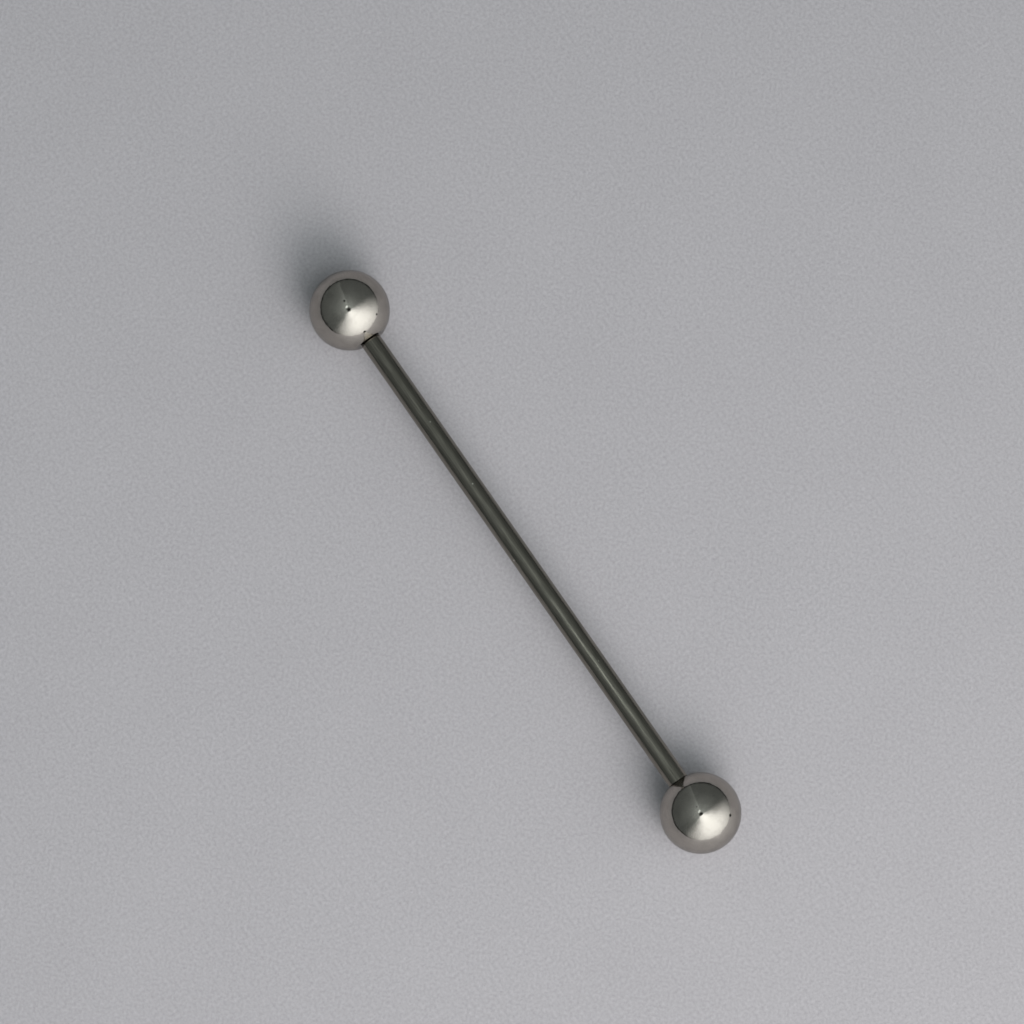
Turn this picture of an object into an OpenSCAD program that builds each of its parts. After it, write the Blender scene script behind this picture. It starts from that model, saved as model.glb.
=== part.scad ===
// Industrial barbell: a straight bar with a threaded stud on each end, and a ball screwed on each stud.
// The bar lies along X with its middle over the origin, and the balls rest on the plane z = 0.

/* [Bar] */
// Diameter of the bar, 1.6 mm for 14 gauge
bar_d = 1.6; // [1.2:0.1:2]
// Length of the bar between its two end faces, without the studs
bar_length = 40; // [20:1:60]
// Chamfer round each end of the bar
bar_chamfer = 0.1; // [0.05:0.01:0.15]

/* [Studs] */
// Width of the step from the side of the bar down to the thread
shoulder_w = 0.2; // [0.17:0.01:0.25]
// Length of each stud, from the end face of the bar to its tip
stud_length = 2.6; // [2:0.1:2.8]
// Pitch of the thread
thread_pitch = 0.25; // [0.2:0.01:0.3]
// Depth of the thread
thread_depth = 0.14; // [0.1:0.01:0.16]
// Width of the crest of each turn of the thread
thread_crest = 0.04; // [0.02:0.01:0.06]
// Length of the relief groove between the end face of the bar and the thread
relief_length = 0.25; // [0.2:0.05:0.5]
// Shortest plain tip past the last turn of the thread
tip_length = 0.08; // [0.06:0.01:0.2]
// Chamfer on the tip of each stud
tip_chamfer = 0.05; // [0.02:0.01:0.06]

/* [Balls] */
// Diameter of each ball
ball_d = 6; // [5:0.5:8]
// Width of the flat seat that each ball leaves showing round the bar
seat_rim = 0.4; // [0.2:0.05:0.6]
// Gap between the seat and the end face of the bar when the ball is screwed home
seat_gap = 0.02; // [0.01:0.01:0.05]
// Gap all round between the thread and the bore of the ball
bore_clearance = 0.04; // [0.02:0.01:0.08]
// Depth of the bore past the tip of the stud
bore_spare = 0.4; // [0.2:0.1:0.6]
// Width of the countersink round the mouth of the bore
countersink = 0.1; // [0.05:0.01:0.12]

/* [Hidden] */
$fn = 96;
bar_r = bar_d / 2;
ball_r = ball_d / 2;
thread_r = bar_r - shoulder_w;
root_r = thread_r - thread_depth;
bore_r = thread_r + bore_clearance;
seat_r = bar_r + seat_rim;
// Distance of the flat seat from the centre of its ball
seat_x = sqrt(pow(ball_r, 2) - pow(seat_r, 2));
// Distance of the centre of each ball from the middle of the bar
ball_x = bar_length / 2 + seat_gap + seat_x;
bore_depth = stud_length - seat_gap + bore_spare;
// Whole turns that fit between the relief groove and the plain tip of the stud
turns = floor((stud_length - relief_length - tip_length) / thread_pitch);
flank_w = (thread_pitch - thread_crest) / 2;
// A cut runs this far past the face that it starts from
overcut = 1;

// Half outline of one turn of the thread, as [radius, distance from the end face]: a crest between two flanks
function turn(start) = [
    [root_r, start],
    [thread_r, start + flank_w],
    [thread_r, start + flank_w + thread_crest]
];

// Half outline of a stud: relief groove, turns of the thread, then the chamfered plain tip
function stud_outline() = concat(
    [[0, -overcut], [root_r, -overcut]],
    [for (i = [0:turns - 1]) each turn(relief_length + i * thread_pitch)],
    [[root_r, relief_length + turns * thread_pitch], [root_r, stud_length - tip_chamfer]],
    [[root_r - tip_chamfer, stud_length], [0, stud_length]]
);

// A stud along +X, with the end face of the bar at x = 0
module stud() {
    rotate([0, 90, 0])
        rotate_extrude()
            polygon(stud_outline());
}

// The bar without its studs, along X about the origin
module shank() {
    side_length = bar_length - 2 * bar_chamfer;
    rotate([0, 90, 0]) {
        cylinder(r = bar_r, h = side_length, center = true);
        for (side = [0, 1]) {
            mirror([0, 0, side])
                translate([0, 0, side_length / 2])
                    cylinder(r1 = bar_r, r2 = bar_r - bar_chamfer, h = bar_chamfer);
        }
    }
}

// A ball about the origin, with its flat seat and its bore facing +X
module threaded_ball() {
    difference() {
        rotate([0, 90, 0])
            sphere(r = ball_r);
        translate([seat_x, 0, 0])
            rotate([0, 90, 0])
                cylinder(r = ball_r, h = ball_r);
        translate([seat_x - bore_depth, 0, 0])
            rotate([0, 90, 0])
                cylinder(r = bore_r, h = bore_depth + overcut);
        translate([seat_x - countersink, 0, 0])
            rotate([0, 90, 0])
                cylinder(r1 = bore_r, r2 = bore_r + countersink + overcut, h = countersink + overcut);
    }
}

module bar() {
    color("dimgray")
        translate([0, 0, ball_r]) {
            shank();
            for (side = [0, 1]) {
                mirror([side, 0, 0])
                    translate([bar_length / 2, 0, 0])
                        stud();
            }
        }
}

module ball_left() {
    color("silver")
        translate([-ball_x, 0, ball_r])
            threaded_ball();
}

module ball_right() {
    color("silver")
        translate([ball_x, 0, ball_r])
            mirror([1, 0, 0])
                threaded_ball();
}

bar();
ball_left();
ball_right();
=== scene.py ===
import math

import bmesh
import bpy
from mathutils import Matrix, Vector


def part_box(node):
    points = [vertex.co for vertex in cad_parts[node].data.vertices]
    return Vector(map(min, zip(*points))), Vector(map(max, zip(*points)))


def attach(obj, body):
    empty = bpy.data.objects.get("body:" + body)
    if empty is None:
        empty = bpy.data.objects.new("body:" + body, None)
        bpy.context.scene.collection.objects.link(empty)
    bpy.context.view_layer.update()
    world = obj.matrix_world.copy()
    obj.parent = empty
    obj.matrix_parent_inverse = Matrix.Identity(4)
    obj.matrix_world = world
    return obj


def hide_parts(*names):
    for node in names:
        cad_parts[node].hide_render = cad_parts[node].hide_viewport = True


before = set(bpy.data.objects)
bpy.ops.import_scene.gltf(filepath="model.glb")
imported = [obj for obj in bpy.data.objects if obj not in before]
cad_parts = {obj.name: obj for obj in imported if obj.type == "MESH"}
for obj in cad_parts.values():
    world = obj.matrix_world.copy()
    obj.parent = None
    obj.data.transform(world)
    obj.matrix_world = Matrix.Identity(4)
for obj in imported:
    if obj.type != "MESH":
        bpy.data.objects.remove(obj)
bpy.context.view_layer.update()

mm = 0.001
scene = bpy.context.scene
scene.view_settings.view_transform = "Standard"


def linearColour(hexColour):  # sRGB hex to the linear values that a shader takes
    channels = [int(hexColour[i:i + 2], 16) / 255 for i in (1, 3, 5)]
    return [c / 12.92 if c <= 0.04045 else ((c + 0.055) / 1.055) ** 2.4 for c in channels] + [1.0]


def addNode(tree, kind, settings=None, inputs=None):  # inputs holds sockets to link, or plain values
    node = tree.nodes.new(kind)
    for name, value in (settings or {}).items():
        setattr(node, name, value)
    for name, value in (inputs or {}).items():
        if isinstance(value, bpy.types.NodeSocket):
            tree.links.new(value, node.inputs[name])
        else:
            node.inputs[name].default_value = value
    return node


def newMaterial(name):
    material = bpy.data.materials.new(name)
    material.use_nodes = True
    tree = material.node_tree
    tree.nodes.clear()
    surface = addNode(tree, "ShaderNodeBsdfPrincipled")
    addNode(tree, "ShaderNodeOutputMaterial", inputs={"Surface": surface.outputs["BSDF"]})
    return material, tree, surface


# Camera: nearly straight down, 10 degrees off the vertical, with a long lens

camera = {
    "azimuth": 55.464,      # degrees round the object, 0 looks along +Y
    "elevation": 79.97,     # degrees above the floor
    "distance": 437.54,     # mm from the point looked at
    "focal": 208.70,        # mm
    "sensor": 36,           # mm across
    "nearest": 10,          # mm from the lens; nothing closer is drawn
    "target": (-3.430, 1.317, 3.0),     # mm, in the plane of the bar's axis
}
azimuth, elevation = math.radians(camera["azimuth"]), math.radians(camera["elevation"])
towardsLens = Vector((math.sin(azimuth) * math.cos(elevation), -math.cos(azimuth) * math.cos(elevation),
                      math.sin(elevation)))
pictureRight = Vector((math.cos(azimuth), math.sin(azimuth), 0))
pictureUp = towardsLens.cross(pictureRight)


def makeCamera():
    data = bpy.data.cameras.new("camera")
    data.sensor_width = camera["sensor"]
    data.lens = camera["focal"]
    data.clip_start = camera["nearest"] * mm
    place = Matrix((pictureRight, pictureUp, towardsLens)).transposed().to_4x4()
    place.translation = (Vector(camera["target"]) + towardsLens * camera["distance"]) * mm
    item = bpy.data.objects.new("camera", data)
    item.matrix_world = place
    scene.collection.objects.link(item)
    scene.camera = item


makeCamera()
print("camera ready")

# Light: a diffusing cone stands round the object with the lens at its tip, and a lamp glows through one side.
# Angles round the cone are in degrees, 0 to the picture's right and 90 to the picture's foot.

tent = {
    "shadeColour": "#F3FFFE",   # the sheet away from the lamp, faintly green
    "litColour": "#FBFEFF",     # and where the lamp glows through
    "litAngle": 47,             # where the lamp stands
    "litEdge": (0.05, 1.15),    # cosines round the cone where the glow begins and where it is full
    "litStrength": 2.12,
    "litFade": (42, 117),       # degrees from the tip over which the glow fades towards the foot
    "litFoot": 0.40,            # what is left of it there
    "shadeStrength": 0.115,     # the side away from the lamp, far from the tip
    "tipStrength": 0.62,        # and what it gains at the tip
    "tipSpread": 24,            # degrees over which that gain falls to a third
    "seamAngle": 251,           # where the sheet overlaps itself and is lighter
    "seamStrength": 0.70,       # how much lighter, as a share
    "seamWidth": 0.20,          # radians round the cone over which it falls to a third
    "seamEdge": 0.03,           # sine of the angle over which its sharp side rises
    "seamStart": 0.1,           # sine of the angle from the tip by which it is full
    "rimHeight": 0.15,          # sine of the height of the dark gap under the foot
    "rimStrength": 0.18,        # the light left in it, as a share
    "lensSize": 5.6,            # degrees, the dark hole for the lens
    "glintSize": 3.0,           # degrees, the bright edge of that hole
    "glintWay": (231, 10.5),    # angle round the cone, and degrees from the tip
    "glintStrength": 1.3,       # light that the bright edge adds
    "spotFade": 0.35,           # share of a spot's radius over which it fades, to each side
}

lamp = {
    "colour": "#FFF9F6",        # a little warmer than the cone's lit side
    "place": (210, -28, 168),   # mm
    "size": 170,                # mm
    "power": 0.50,              # watts
}


def roundTheCone(angle, fromTip=90):  # direction at an angle round the cone and an angle away from its tip
    turn, lean = math.radians(angle), math.radians(fromTip)
    outwards = pictureRight * math.cos(turn) - pictureUp * math.sin(turn)
    return towardsLens * math.cos(lean) + outwards * math.sin(lean)


def makeTent():
    world = bpy.data.worlds.new("tent")
    scene.world = world
    world.use_nodes = True
    tree = world.node_tree
    tree.nodes.clear()
    way = addNode(tree, "ShaderNodeTexCoord").outputs["Generated"]

    def maths(operation, *values):
        return addNode(tree, "ShaderNodeMath", {"operation": operation}, dict(enumerate(values))).outputs[0]

    def along(direction):
        return addNode(tree, "ShaderNodeVectorMath", {"operation": "DOT_PRODUCT"},
                       {0: way, 1: direction}).outputs["Value"]

    def ramp(value, low, high, start=0.0, end=1.0, kind="SMOOTHERSTEP"):
        return addNode(tree, "ShaderNodeMapRange", {"interpolation_type": kind},
                       {"Value": value, "From Min": low, "From Max": high,
                        "To Min": start, "To Max": end}).outputs[0]

    def spot(direction, size):  # 1 inside a soft round patch of the given radius in degrees
        outer, inner = [math.radians(size * (1 + fade)) for fade in (tent["spotFade"], -tent["spotFade"])]
        return ramp(along(direction), math.cos(outer), math.cos(inner))

    tip = along(towardsLens)
    fromTip = maths("ARCCOSINE", tip)
    # a touch over 1, so that nothing is divided by 0 at the tip
    reach = maths("SQRT", maths("SUBTRACT", 1.0001, maths("MULTIPLY", tip, tip)))
    litTurn = maths("DIVIDE", along(roundTheCone(tent["litAngle"])), reach)
    lit = ramp(litTurn, *tent["litEdge"], kind="SMOOTHSTEP")
    fadeStart, fadeEnd = [math.radians(angle) for angle in tent["litFade"]]
    fade = ramp(fromTip, fadeStart, fadeEnd, 1.0, tent["litFoot"])
    glow = maths("MULTIPLY", maths("MULTIPLY", lit, fade), tent["litStrength"])

    nearTip = maths("EXPONENT", maths("MULTIPLY", fromTip, -1 / math.radians(tent["tipSpread"])))
    shade = maths("ADD", maths("MULTIPLY", nearTip, tent["tipStrength"]), tent["shadeStrength"])
    beside = maths("DIVIDE", along(roundTheCone(tent["seamAngle"] - 90)), reach)
    seamSide = ramp(beside, 0.0, tent["seamEdge"])
    seamFront = ramp(along(roundTheCone(tent["seamAngle"])), 0.0, tent["seamStart"])
    seam = maths("MULTIPLY", maths("EXPONENT", maths("DIVIDE", beside, -tent["seamWidth"])),
                 maths("MULTIPLY", seamSide, seamFront))
    shade = maths("MULTIPLY", shade, maths("MULTIPLY_ADD", seam, tent["seamStrength"], 1.0))

    height = addNode(tree, "ShaderNodeSeparateXYZ", inputs={0: way}).outputs["Z"]
    rim = ramp(height, 0.0, tent["rimHeight"], tent["rimStrength"], 1.0)
    hole = maths("SUBTRACT", 1.0, spot(towardsLens, tent["lensSize"]))
    glint = maths("MULTIPLY", spot(roundTheCone(*tent["glintWay"]), tent["glintSize"]), tent["glintStrength"])
    shade = maths("MULTIPLY", maths("MULTIPLY_ADD", shade, rim, glint), hole)
    glow = maths("MULTIPLY", glow, hole)
    shadeSheet = addNode(tree, "ShaderNodeBackground",
                         inputs={"Color": linearColour(tent["shadeColour"]), "Strength": shade})
    litSheet = addNode(tree, "ShaderNodeBackground",
                       inputs={"Color": linearColour(tent["litColour"]), "Strength": glow})
    both = addNode(tree, "ShaderNodeAddShader", inputs={0: shadeSheet.outputs[0], 1: litSheet.outputs[0]})
    addNode(tree, "ShaderNodeOutputWorld", inputs={"Surface": both.outputs[0]})


def makeLamp():  # brightens the floor on its own side; its reflection is the cone's glow
    data = bpy.data.lights.new("lamp", "AREA")
    data.shape = "DISK"
    data.size = lamp["size"] * mm
    data.energy = lamp["power"]
    data.color = linearColour(lamp["colour"])[:3]
    item = bpy.data.objects.new("lamp", data)
    item.location = Vector(lamp["place"]) * mm
    item.rotation_euler = item.location.to_track_quat("Z", "Y").to_euler()
    item.visible_glossy = False
    scene.collection.objects.link(item)


makeTent()
makeLamp()
print("light ready")

# Floor: a plain sheet of pale grey card

card = {
    "side": 1200,           # mm
    "colour": "#B1AFB3",    # the palest of it
    "fleck": "#9A989C",     # and the darkest
    "toneRange": (0.3, 0.82),   # noise values at which it is darkest and palest
    "grain": 0.24,          # mm across the humps of its surface
    "cloud": 9.0,           # mm across the faint clouds in its tone
    "cloudShare": 0.12,     # how much they count beside the grain
    "relief": 0.02,         # mm
    "roughness": 0.48,      # low enough to gleam at a grazing angle
}


def cardMatt():  # smooth pressed card: dull from above, a sheen from low down, faint clouds and a fine grain
    material, tree, surface = newMaterial("cardMatt")
    place = addNode(tree, "ShaderNodeTexCoord").outputs["Object"]
    grain = addNode(tree, "ShaderNodeTexNoise",
                    inputs={"Vector": place, "Scale": 1 / (card["grain"] * mm),
                            "Detail": 3.0, "Roughness": 0.6})
    cloud = addNode(tree, "ShaderNodeTexNoise",
                    inputs={"Vector": place, "Scale": 1 / (card["cloud"] * mm), "Detail": 2.0})
    blend = addNode(tree, "ShaderNodeMath", {"operation": "MULTIPLY_ADD"},
                    {0: cloud.outputs["Fac"], 1: card["cloudShare"], 2: grain.outputs["Fac"]})
    darkest, palest = card["toneRange"]
    tone = addNode(tree, "ShaderNodeMapRange",
                   inputs={"Value": blend.outputs[0], "From Min": darkest, "From Max": palest})
    colour = addNode(tree, "ShaderNodeMix", {"data_type": "RGBA"},
                     {0: tone.outputs[0], 6: linearColour(card["fleck"]), 7: linearColour(card["colour"])})
    bump = addNode(tree, "ShaderNodeBump",
                   inputs={"Strength": 1.0, "Distance": card["relief"] * mm, "Height": grain.outputs["Fac"]})
    tree.links.new(colour.outputs[2], surface.inputs["Base Color"])
    tree.links.new(bump.outputs["Normal"], surface.inputs["Normal"])
    surface.inputs["Roughness"].default_value = card["roughness"]
    return material


def makeFloor():
    half = card["side"] * mm / 2
    mesh = bpy.data.meshes.new("floor")
    corners = [(-half, -half, 0), (half, -half, 0), (half, half, 0), (-half, half, 0)]
    mesh.from_pydata(corners, [], [(0, 1, 2, 3)])
    floor = bpy.data.objects.new("floor", mesh)
    mesh.materials.append(cardMatt())
    scene.collection.objects.link(floor)


makeFloor()
print("floor ready")

# Sizes shared by the pieces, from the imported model's boxes

barBox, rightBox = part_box("bar"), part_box("ball_right")
axisHeight = 3.0 * mm                       # the bar's axis above the floor
ballRadius = 3.0 * mm
ballCentre = rightBox[1].x - ballRadius     # how far each ball's centre is from the middle
seatPlace = rightBox[0].x                   # the flat seat that faces the bar
seatOffset = ballCentre - seatPlace         # from the ball's centre
seatRadius = math.sqrt(ballRadius ** 2 - seatOffset ** 2)
studTip = barBox[1].x
sharpAngle = math.radians(28)               # edges that bend more than this stay crisp
onAxis = 1e-9                               # m, a smaller radius is a point on the axis


def lathe(name, outline, turns, radiusAt):  # turns (distance, radius) pairs about the bar's axis
    mesh = bmesh.new()
    rings = []
    for distance, radius in outline:
        if radius < onAxis:
            rings.append([mesh.verts.new((distance, 0, axisHeight))])
            continue
        ring = []
        for k in range(turns):
            angle = 2 * math.pi * k / turns
            r = radiusAt(distance, angle, radius)
            ring.append(mesh.verts.new((distance, r * math.cos(angle), axisHeight + r * math.sin(angle))))
        rings.append(ring)
    for first, second in zip(rings, rings[1:]):
        for k in range(turns):
            corners = [first[k % len(first)], first[(k + 1) % len(first)],
                       second[(k + 1) % len(second)], second[k % len(second)]]
            unique = list(dict.fromkeys(corners))
            if len(unique) > 2:
                mesh.faces.new(unique)
    bmesh.ops.recalc_face_normals(mesh, faces=mesh.faces)
    data = bpy.data.meshes.new(name)
    mesh.to_mesh(data)
    mesh.free()
    for face in data.polygons:
        face.use_smooth = True
    data.set_sharp_from_angle(angle=sharpAngle)
    piece = bpy.data.objects.new(name, data)
    scene.collection.objects.link(piece)
    return piece


def marks(tree, place, spots):  # 1 inside small round marks given as (centre, radius), 0 elsewhere
    inner, outer = 0.5, 1.2  # shares of the radius between which a mark fades
    total = None
    for centre, radius in spots:
        away = addNode(tree, "ShaderNodeVectorMath", {"operation": "DISTANCE"}, {0: place, 1: centre})
        mark = addNode(tree, "ShaderNodeMapRange", {"interpolation_type": "SMOOTHSTEP"},
                       {"Value": away.outputs["Value"], "From Min": radius * inner,
                        "From Max": radius * outer, "To Min": 1.0, "To Max": 0.0})
        if total is None:
            total = mark.outputs[0]
        else:
            total = addNode(tree, "ShaderNodeMath", {"operation": "MAXIMUM"},
                            {0: total, 1: mark.outputs[0]}).outputs[0]
    return total


def stretchedNoise(tree, place, size, detail=2.0):  # noise whose humps are so many mm along X, Y and Z
    scaled = addNode(tree, "ShaderNodeVectorMath", {"operation": "MULTIPLY"},
                     {0: place, 1: [1 / (length * mm) for length in size]})
    return addNode(tree, "ShaderNodeTexNoise",
                   inputs={"Vector": scaled.outputs[0], "Scale": 1.0, "Detail": detail}).outputs["Fac"]


# Thread on the bar's two studs, right-handed at both ends

thread = {
    "pitch": 0.25,              # mm
    "crestRadius": 0.60,        # mm
    "rootRadius": 0.46,         # mm
    "crestWidth": 0.04,         # mm
    "start": 20.25,             # mm from the bar's middle
    "end": 22.50,
    "steps": 12,                # rings for each turn of the thread
    "runIn": 0.8,               # turns over which it grows out of the groove
    "runOut": 0.4,              # and over which it ends near the tip
}

# Balls: titanium, turned and polished to a mirror

ball = {
    "metal": "#B1ABA3",         # polished titanium, a warm grey
    "edgeTint": 0.72,           # how much of its reflection is left near the silhouette
    "speck": "#2C2A28",         # dirt and small pits
    "hazeSize": 0.9,            # mm across the patches of haze and film
    "film": 0.16,               # how far the haziest places go towards the speck's colour
    "filmRange": (0.45, 0.7),   # noise values at which the film begins and is full
    "roughness": (0.02, 0.11),  # clean mirror, and where it is hazy
    "hazeRange": (0.45, 0.8),   # noise values at which the haze begins and is full
    "scuffs": (0.02, 0.61, 0.34),   # mm across, the noise level above which they lie, and their roughness
    "scuffEdge": 0.04,          # noise value over which a scuff comes in
    "waves": (0.5, 0.010),      # mm across and mm high, left by the polishing wheel
    "hairlineSize": (0.05, 1.5, 1.5),   # mm along X, Y and Z
    "hairlines": 0.00012,       # mm deep
    "specks": {                 # right and down in the picture as parts of the radius, and size in mm
        "Left": [(-0.10, -0.20, 0.09), (0.69, 0.12, 0.09), (0.39, 0.55, 0.10), (-0.47, -0.58, 0.06)],
        "Right": [(0.70, 0.02, 0.13), (-0.12, -0.20, 0.05), (0.30, -0.47, 0.04)],
    },
    "lip": 0.05,                # mm, the rounded rim of the flat seat
    "lipSteps": 6,              # rings round that rim
    "rings": 120,               # from pole to seat
    "around": 192,              # points in each ring
    "boreRadius": 0.64,         # mm
    "boreDepth": 2.98,          # mm
    "boreRidge": 0.02,          # mm that the thread stands proud of the bore
    "countersink": 0.1,         # mm
}


def mirrorTitanium(side, label):  # tumbled and buffed: a mirror with faint haze, hairlines and dark specks
    material, tree, surface = newMaterial("mirrorTitanium" + label)
    place = addNode(tree, "ShaderNodeTexCoord").outputs["Object"]
    centre = Vector((side * ballCentre, 0, axisHeight))
    spots = []
    for right, down, size in ball["specks"][label]:
        way = pictureRight * right - pictureUp * down + towardsLens * math.sqrt(1 - right ** 2 - down ** 2)
        spots.append((centre + way * ballRadius, size * mm))
    speck = marks(tree, place, spots)
    haze = stretchedNoise(tree, place, [ball["hazeSize"]] * 3, 5.0)
    begins, full = ball["filmRange"]
    film = addNode(tree, "ShaderNodeMapRange", inputs={"Value": haze, "From Min": begins, "From Max": full,
                                                       "To Min": 0.0, "To Max": ball["film"]})
    stain = addNode(tree, "ShaderNodeMath", {"operation": "MAXIMUM"}, {0: speck, 1: film.outputs[0]})
    colour = addNode(tree, "ShaderNodeMix", {"data_type": "RGBA"},
                     {0: stain.outputs[0], 6: linearColour(ball["metal"]), 7: linearColour(ball["speck"])})
    begins, full = ball["hazeRange"]
    clean, hazy = ball["roughness"]
    rough = addNode(tree, "ShaderNodeMapRange", {"interpolation_type": "SMOOTHSTEP"},
                    {"Value": haze, "From Min": begins, "From Max": full, "To Min": clean, "To Max": hazy})
    scuffSize, scuffLevel, scuffRoughness = ball["scuffs"]
    scuffs = addNode(tree, "ShaderNodeMapRange",
                     inputs={"Value": stretchedNoise(tree, place, [scuffSize] * 3, 1.0),
                             "From Min": scuffLevel, "From Max": scuffLevel + ball["scuffEdge"],
                             "To Min": 0.0, "To Max": scuffRoughness})
    rough = addNode(tree, "ShaderNodeMath", {"operation": "MAXIMUM"},
                    {0: rough.outputs[0], 1: scuffs.outputs[0]})
    size, height = ball["waves"]
    waves = addNode(tree, "ShaderNodeBump",
                    inputs={"Strength": 1.0, "Distance": height * mm,
                            "Height": stretchedNoise(tree, place, [size] * 3)})
    lines = stretchedNoise(tree, place, ball["hairlineSize"], 1.0)
    hairlines = addNode(tree, "ShaderNodeBump",
                        inputs={"Strength": 1.0, "Distance": ball["hairlines"] * mm,
                                "Height": lines, "Normal": waves.outputs["Normal"]})
    tree.links.new(colour.outputs[2], surface.inputs["Base Color"])
    tree.links.new(rough.outputs[0], surface.inputs["Roughness"])
    tree.links.new(hairlines.outputs["Normal"], surface.inputs["Normal"])
    surface.inputs["Metallic"].default_value = 1.0
    surface.inputs["Specular Tint"].default_value = [ball["edgeTint"]] * 3 + [1.0]
    return material


def makeBall(label, side, node):
    lip, ridge = ball["lip"] * mm, ball["boreRidge"] * mm
    rimAngle = math.asin((seatRadius + lip) / ballRadius)
    outline = []
    for i in range(ball["rings"] + 1):  # the sphere, in distances from the ball's centre towards the seat
        angle = math.pi - (math.pi - rimAngle) * i / ball["rings"]
        outline.append((ballRadius * math.cos(angle), ballRadius * math.sin(angle)))
    outline[0] = (-ballRadius, 0)
    start, end = outline[-1], (seatOffset, seatRadius - lip)
    for i in range(1, ball["lipSteps"] + 1):  # the rounded rim
        t = i / ball["lipSteps"]
        outline.append([(1 - t) ** 2 * p + 2 * t * (1 - t) * c + t ** 2 * q
                        for p, c, q in zip(start, (seatOffset, seatRadius), end)])
    bore, sink = ball["boreRadius"] * mm, ball["countersink"] * mm
    bottom = seatOffset - ball["boreDepth"] * mm
    outline += [(seatOffset, bore + sink), (seatOffset - sink, bore)]
    steps = round((ball["boreDepth"] * mm - 3 * sink) / (thread["pitch"] * mm / thread["steps"]))
    for i in range(steps + 1):
        outline.append((seatOffset - sink - (seatOffset - 2 * sink - bottom) * i / steps, bore))
    outline += [(bottom, bore), (bottom, 0)]

    def boreThread(distance, angle, radius):
        depth = seatOffset - (ballCentre - side * distance)
        if radius > bore * 1.001 or not 2 * sink < depth < ball["boreDepth"] * mm - 2 * sink:
            return radius  # the bore is plain at its two ends
        turn = 2 * math.pi * distance / (thread["pitch"] * mm) - angle
        return radius - ridge * (0.5 + 0.5 * math.cos(turn))

    placed = [(side * (ballCentre - distance), radius) for distance, radius in outline]
    piece = lathe("polishedBall" + label, placed, ball["around"], boreThread)
    piece.data.materials.append(mirrorTitanium(side, label))
    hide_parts(node)
    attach(piece, node)


makeBall("Left", -1, "ball_left")
makeBall("Right", 1, "ball_right")
print("balls ready")

# Bar: titanium rod, centreless ground, then polished lightly while it turned

bar = {
    "metal": "#868178",         # ground titanium, darker than polished
    "paintedShade": "#2B2926",       # painted shade: darkens the joint where each end face meets its ball
    "pit": "#D8D4C8",           # bright scratched metal
    "radius": 0.8,              # mm
    "half": 20.0,               # mm from the middle to each end face
    "edge": 0.1,                # mm, rounded edge of the end face
    "edgeSteps": 5,             # flats round that edge
    "filletShare": 0.4,         # of the edge, the round corner at the foot of the stud
    "filletMiddle": 0.12,       # of the edge, how far the middle of that corner stands off
    "tipEdge": 0.05,            # mm, cut off the stud's tip
    "around": 128,              # points in each ring
    "roughness": 0.13,          # a low gloss under the grinding rings
    "anisotropy": 1.0,          # full: the rings spread each reflection along the bar
    "ringSize": (0.03, 3.0, 3.0),       # mm along X, Y and Z
    "rings": 0.00008,           # mm deep, left by grinding
    "streakSize": (1.4, 0.08, 0.08),    # mm along X, Y and Z
    "streaks": 0.0004,          # mm deep, left by polishing along the bar
    "streakRange": (0.3, 0.7),          # noise values at which it is darkest and lightest
    "streakTone": (0.74, 1.26),         # darkest and lightest, as a share of the metal's colour
    "paintedShadeWidth": 0.055,        # mm to each side of the middle of the painted shade
    "paintedShadeMiddle": 0.02,        # mm in from the end face
    # distance along the bar from its middle, distance aside in the picture, and size, in mm
    "pits": [(-12.3, 0.18, 0.06), (-6.7, 0.13, 0.07), (-0.3, -0.62, 0.07), (9.4, 0.25, 0.04)],
}


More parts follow.
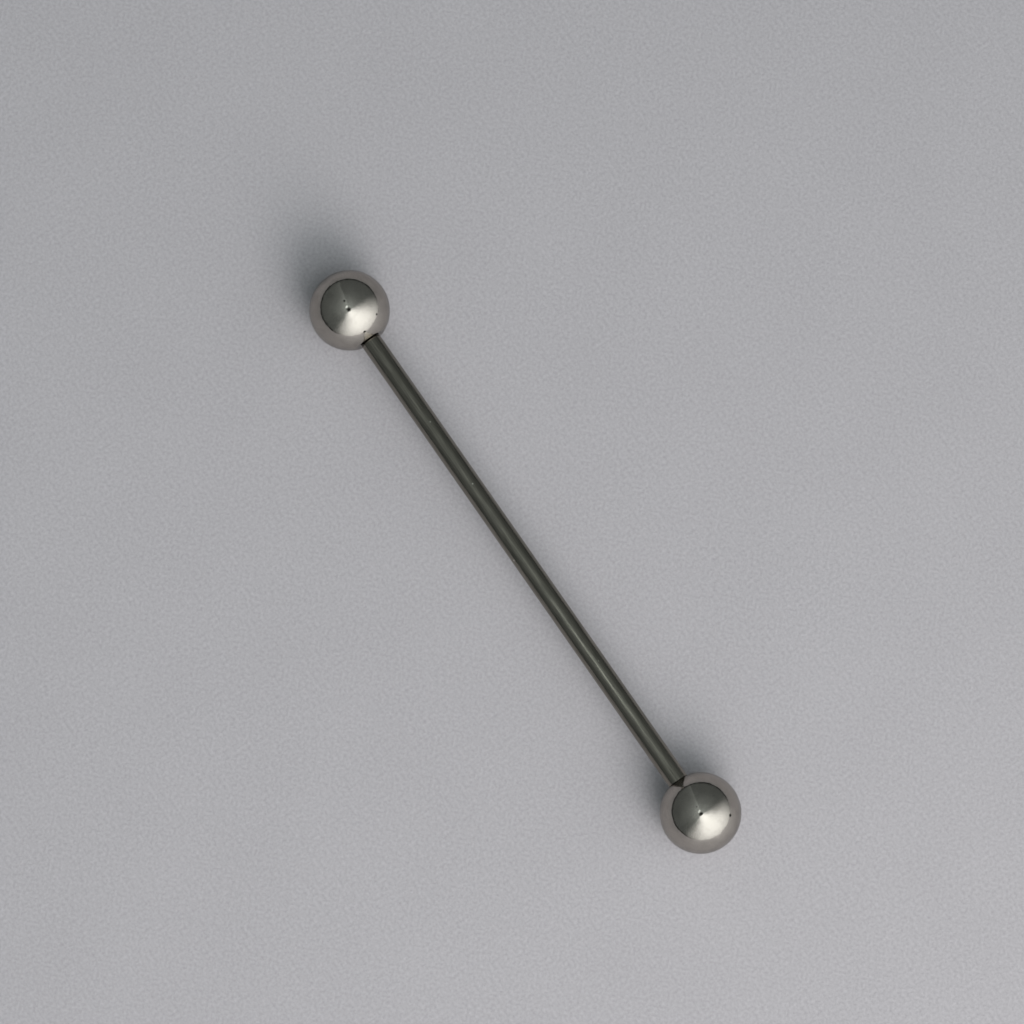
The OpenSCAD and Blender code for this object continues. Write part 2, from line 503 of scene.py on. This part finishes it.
def turnedTitanium():  # ground in fine rings, which spread reflections along the bar; faint streaks and pits, and painted shade at each end face
    material, tree, surface = newMaterial("turnedTitanium")
    place = addNode(tree, "ShaderNodeTexCoord").outputs["Object"]
    across = towardsLens.cross(Vector((1, 0, 0))).normalized()
    outwards = Vector((1, 0, 0)).cross(across)
    spots = []
    for distance, aside, size in bar["pits"]:
        upwards = math.sqrt(bar["radius"] ** 2 - aside ** 2)
        centre = Vector((distance, 0, 0)) + across * aside + outwards * upwards
        spots.append((centre * mm + Vector((0, 0, axisHeight)), size * mm))
    pit = marks(tree, place, spots)
    mottle = stretchedNoise(tree, place, bar["streakSize"], 4.0)
    darkAt, lightAt = bar["streakRange"]
    darkest, lightest = bar["streakTone"]
    tone = addNode(tree, "ShaderNodeMapRange",
                   inputs={"Value": mottle, "From Min": darkAt, "From Max": lightAt,
                           "To Min": darkest, "To Max": lightest})
    metal = addNode(tree, "ShaderNodeVectorMath", {"operation": "SCALE"},
                    {0: linearColour(bar["metal"])[:3], "Scale": tone.outputs[0]})
    colour = addNode(tree, "ShaderNodeMix", {"data_type": "RGBA"},
                     {0: pit, 6: metal.outputs[0], 7: linearColour(bar["pit"])})
    sideways = addNode(tree, "ShaderNodeSeparateXYZ", inputs={0: place})
    away = addNode(tree, "ShaderNodeMath", {"operation": "ABSOLUTE"}, {0: sideways.outputs["X"]})
    paintedShadePlace = (bar["half"] - bar["paintedShadeMiddle"]) * mm
    paintedShadeBand = addNode(tree, "ShaderNodeMath", {"operation": "COMPARE"},  # 1 in a narrow band of painted shade at each end face
                     {0: away.outputs[0], 1: paintedShadePlace, 2: bar["paintedShadeWidth"] * mm})
    # painted shade that darkens the joint between the bar and each ball
    withPaintedShade = addNode(tree, "ShaderNodeMix", {"data_type": "RGBA"},
                      {0: paintedShadeBand.outputs[0], 6: colour.outputs[2], 7: linearColour(bar["paintedShade"])})
    streaks = addNode(tree, "ShaderNodeBump",
                      inputs={"Strength": 1.0, "Distance": bar["streaks"] * mm, "Height": mottle})
    rings = addNode(tree, "ShaderNodeBump",
                    inputs={"Strength": 1.0, "Distance": bar["rings"] * mm,
                            "Height": stretchedNoise(tree, place, bar["ringSize"]),
                            "Normal": streaks.outputs["Normal"]})
    tangent = addNode(tree, "ShaderNodeTangent", {"direction_type": "RADIAL", "axis": "X"})
    tree.links.new(withPaintedShade.outputs[2], surface.inputs["Base Color"])
    tree.links.new(rings.outputs["Normal"], surface.inputs["Normal"])
    tree.links.new(tangent.outputs["Tangent"], surface.inputs["Tangent"])
    surface.inputs["Metallic"].default_value = 1.0
    surface.inputs["Roughness"].default_value = bar["roughness"]
    surface.inputs["Anisotropic"].default_value = bar["anisotropy"]
    return material


def makeBar():
    radius, half, edge = bar["radius"] * mm, bar["half"] * mm, bar["edge"] * mm
    root, crest = thread["rootRadius"] * mm, thread["crestRadius"] * mm
    start, end, pitch = thread["start"] * mm, thread["end"] * mm, thread["pitch"] * mm
    right = [(0, radius)]
    for i in range(bar["edgeSteps"] + 1):
        turn = math.pi / 2 * i / bar["edgeSteps"]
        right.append((half - edge + edge * math.sin(turn), radius - edge + edge * math.cos(turn)))
    fillet, middle = edge * bar["filletShare"], edge * bar["filletMiddle"]
    right += [(half, root + fillet), (half + middle, root + middle), (half + fillet, root)]
    steps = round((end - start) / pitch * thread["steps"])
    for i in range(steps + 1):
        right.append((start + (end - start) * i / steps, crest))
    tipEdge = bar["tipEdge"] * mm
    right += [(studTip - tipEdge, root), (studTip, root - tipEdge), (studTip, 0)]

    def studThread(distance, angle, radius):
        away = abs(distance)
        if radius < crest * 0.999 or away < start - 1e-9:
            return radius
        phase = (distance / pitch - angle / 2 / math.pi) % 1
        fromCrest = min(phase, 1 - phase) * pitch - thread["crestWidth"] * mm / 2
        flank = pitch / 2 - thread["crestWidth"] * mm
        height = min(1, max(0, 1 - fromCrest / flank))
        whole = min(1, (away - start) / (pitch * thread["runIn"]), (end - away) / (pitch * thread["runOut"]))
        return root + (crest - root) * min(height, max(0, whole))

    left = [(-distance, r) for distance, r in reversed(right)]
    piece = lathe("turnedBar", left + right[1:], bar["around"], studThread)
    piece.data.materials.append(turnedTitanium())
    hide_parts("bar")
    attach(piece, "bar")


makeBar()
print("bar ready")
